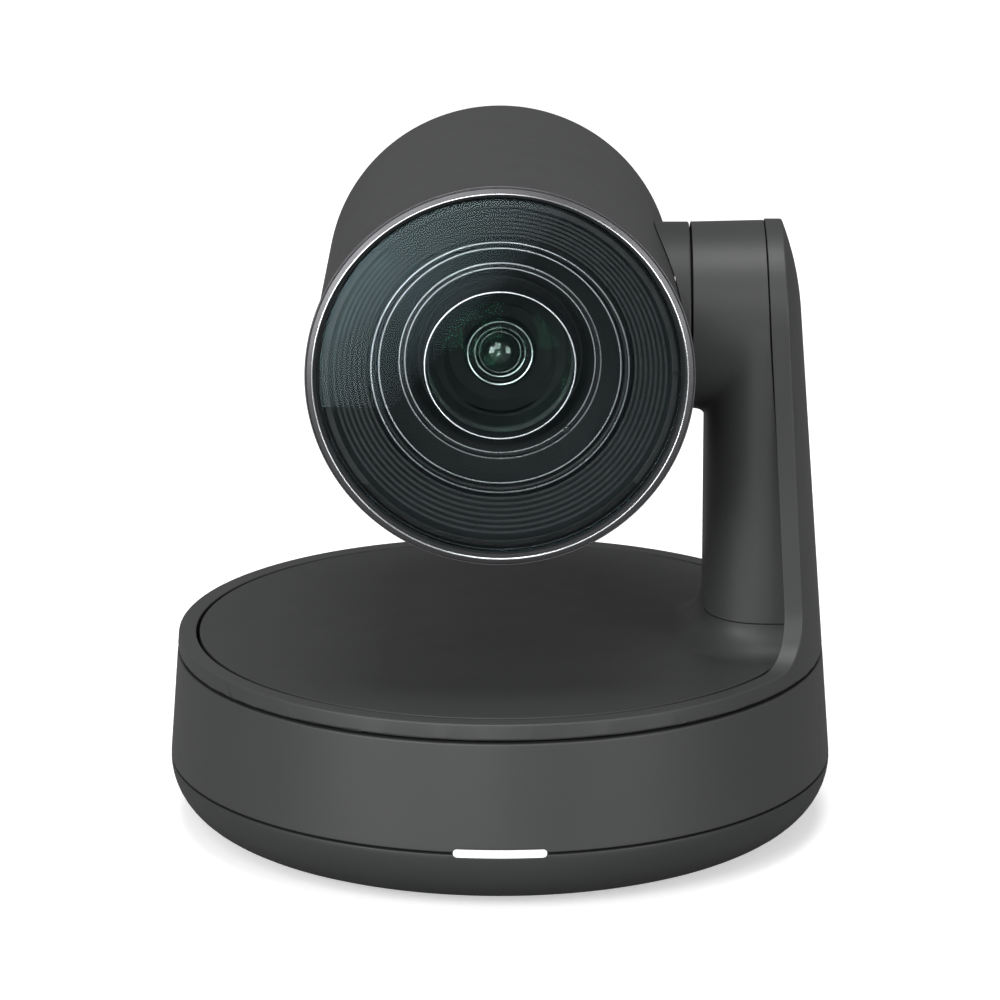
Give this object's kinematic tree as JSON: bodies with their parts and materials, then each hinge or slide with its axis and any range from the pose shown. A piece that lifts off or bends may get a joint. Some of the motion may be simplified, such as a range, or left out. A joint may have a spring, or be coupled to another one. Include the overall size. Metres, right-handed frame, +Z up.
{
  "type": "ptz camera",
  "caption": "Conference camera with a panning round base, a single side arm and a tilting barrel-shaped head with a wide zoom lens behind cover glass.",
  "frame": {"origin": "on the pan axis at the bottom of the foot ring, where the camera stands", "axes": "+Z up along the pan axis, the lens faces -Y at rest, and the arm stands at +X"},
  "size_m": [0.152, 0.152, 0.1605],
  "materials": {
    "charcoal_plastic": "satin fine texture",
    "foot_rubber": "matte",
    "status_light": "lit diffuser",
    "circuit_board": "solder mask",
    "black_plastic": "fine texture",
    "connector_steel": "plated",
    "cast_alloy": "cast",
    "bearing_steel": "ground",
    "motor_steel": "zinc plated",
    "brass": "machined",
    "bezel_metal": "gunmetal, bright cut edge",
    "clear_glass": "coated flat window",
    "coated_lens": "green coating",
    "lens_black": "anti-reflection black"
  },
  "bodies": {
    "base": {"bottom_pan": "charcoal_plastic", "foot_ring": "foot_rubber", "base_housing": "charcoal_plastic", "led_light_bar": "status_light", "led_board": "circuit_board", "port_panel": "black_plastic", "dc_jack": "black_plastic", "usb_c_socket": "connector_steel", "hdmi_socket": "connector_steel", "din_socket": "black_plastic", "io_board": "circuit_board", "main_board": "circuit_board", "processor_shield": "connector_steel", "heat_spreader": "cast_alloy", "pair_switch": "black_plastic", "base_chassis": "cast_alloy", "pan_bearing_outer": "bearing_steel", "pan_bearing_balls": "bearing_steel", "pan_motor": "motor_steel", "tripod_insert": "brass", "base_screws": "motor_steel"},
    "pair_button": {"pair_button": "black_plastic"},
    "pan_pinion": {"pan_pinion": "brass"},
    "pan": {"turntable_plate": "cast_alloy", "pan_bearing_inner": "bearing_steel", "pan_gear": "black_plastic", "rim_shell": "charcoal_plastic", "deck_panel": "charcoal_plastic", "arm_inner_cover": "charcoal_plastic", "arm_frame": "cast_alloy", "tilt_bearing_outer": "bearing_steel", "tilt_bearing_balls": "bearing_steel", "tilt_motor": "motor_steel", "tilt_belt": "foot_rubber", "arm_cable": "black_plastic", "arm_screws": "motor_steel"},
    "tilt_pinion": {"tilt_pinion": "brass"},
    "head": {"head_housing": "charcoal_plastic", "head_rear_cover": "charcoal_plastic", "tilt_collar": "charcoal_plastic", "bezel_ring": "bezel_metal", "cover_glass": "clear_glass", "lens_hood": "lens_black", "lens_front_ring": "lens_black", "front_lens": "coated_lens", "lens_barrel": "black_plastic", "lens_retaining_ring": "lens_black", "second_lens": "coated_lens", "lens_cell": "black_plastic", "guide_rods": "bearing_steel", "camera_chassis": "cast_alloy", "sensor_board": "circuit_board", "image_board": "circuit_board", "heat_sink": "cast_alloy", "tilt_shaft": "bearing_steel", "tilt_bearing_inner": "bearing_steel", "tilt_pulley": "cast_alloy", "head_screws": "motor_steel"},
    "zoom_group": {"zoom_group": "lens_black"},
    "focus_group": {"focus_group": "lens_black"}
  },
  "joints": [
    {"name": "pan", "type": "hinge", "parent": "base", "child": "pan", "pos_m": [0, 0, 0.04], "axis": [0, 0, 1], "range_deg": [-90, 90]},
    {"name": "tilt", "type": "hinge", "parent": "pan", "child": "head", "pos_m": [0, 0, 0.118], "axis": [1, 0, 0], "range_deg": [-50, 90]},
    {"name": "pan_pinion_spin", "type": "hinge", "parent": "base", "child": "pan_pinion", "pos_m": [-0.0432, 0, 0.03], "axis": [0, 0, 1], "range_deg": [-740, 740]},
    {"name": "tilt_pinion_spin", "type": "hinge", "parent": "pan", "child": "tilt_pinion", "pos_m": [0.06, 0, 0.075], "axis": [1, 0, 0], "range_deg": [-155, 275]},
    {"name": "zoom_slide", "type": "slide", "parent": "head", "child": "zoom_group", "axis": [0, -1, 0], "range_m": [-0.003, 0.008]},
    {"name": "focus_slide", "type": "slide", "parent": "head", "child": "focus_group", "axis": [0, -1, 0], "range_m": [-0.003, 0.003]},
    {"name": "pair_button_press", "type": "slide", "parent": "base", "child": "pair_button", "axis": [0, -1, 0], "range_m": [0, 0.0008], "stiffness_N_per_m": 400}
  ],
  "couplings": [
    {"joint": "pan_pinion_spin", "follows": "pan", "ratio": -8},
    {"joint": "tilt_pinion_spin", "follows": "tilt", "ratio": 3}
  ]
}
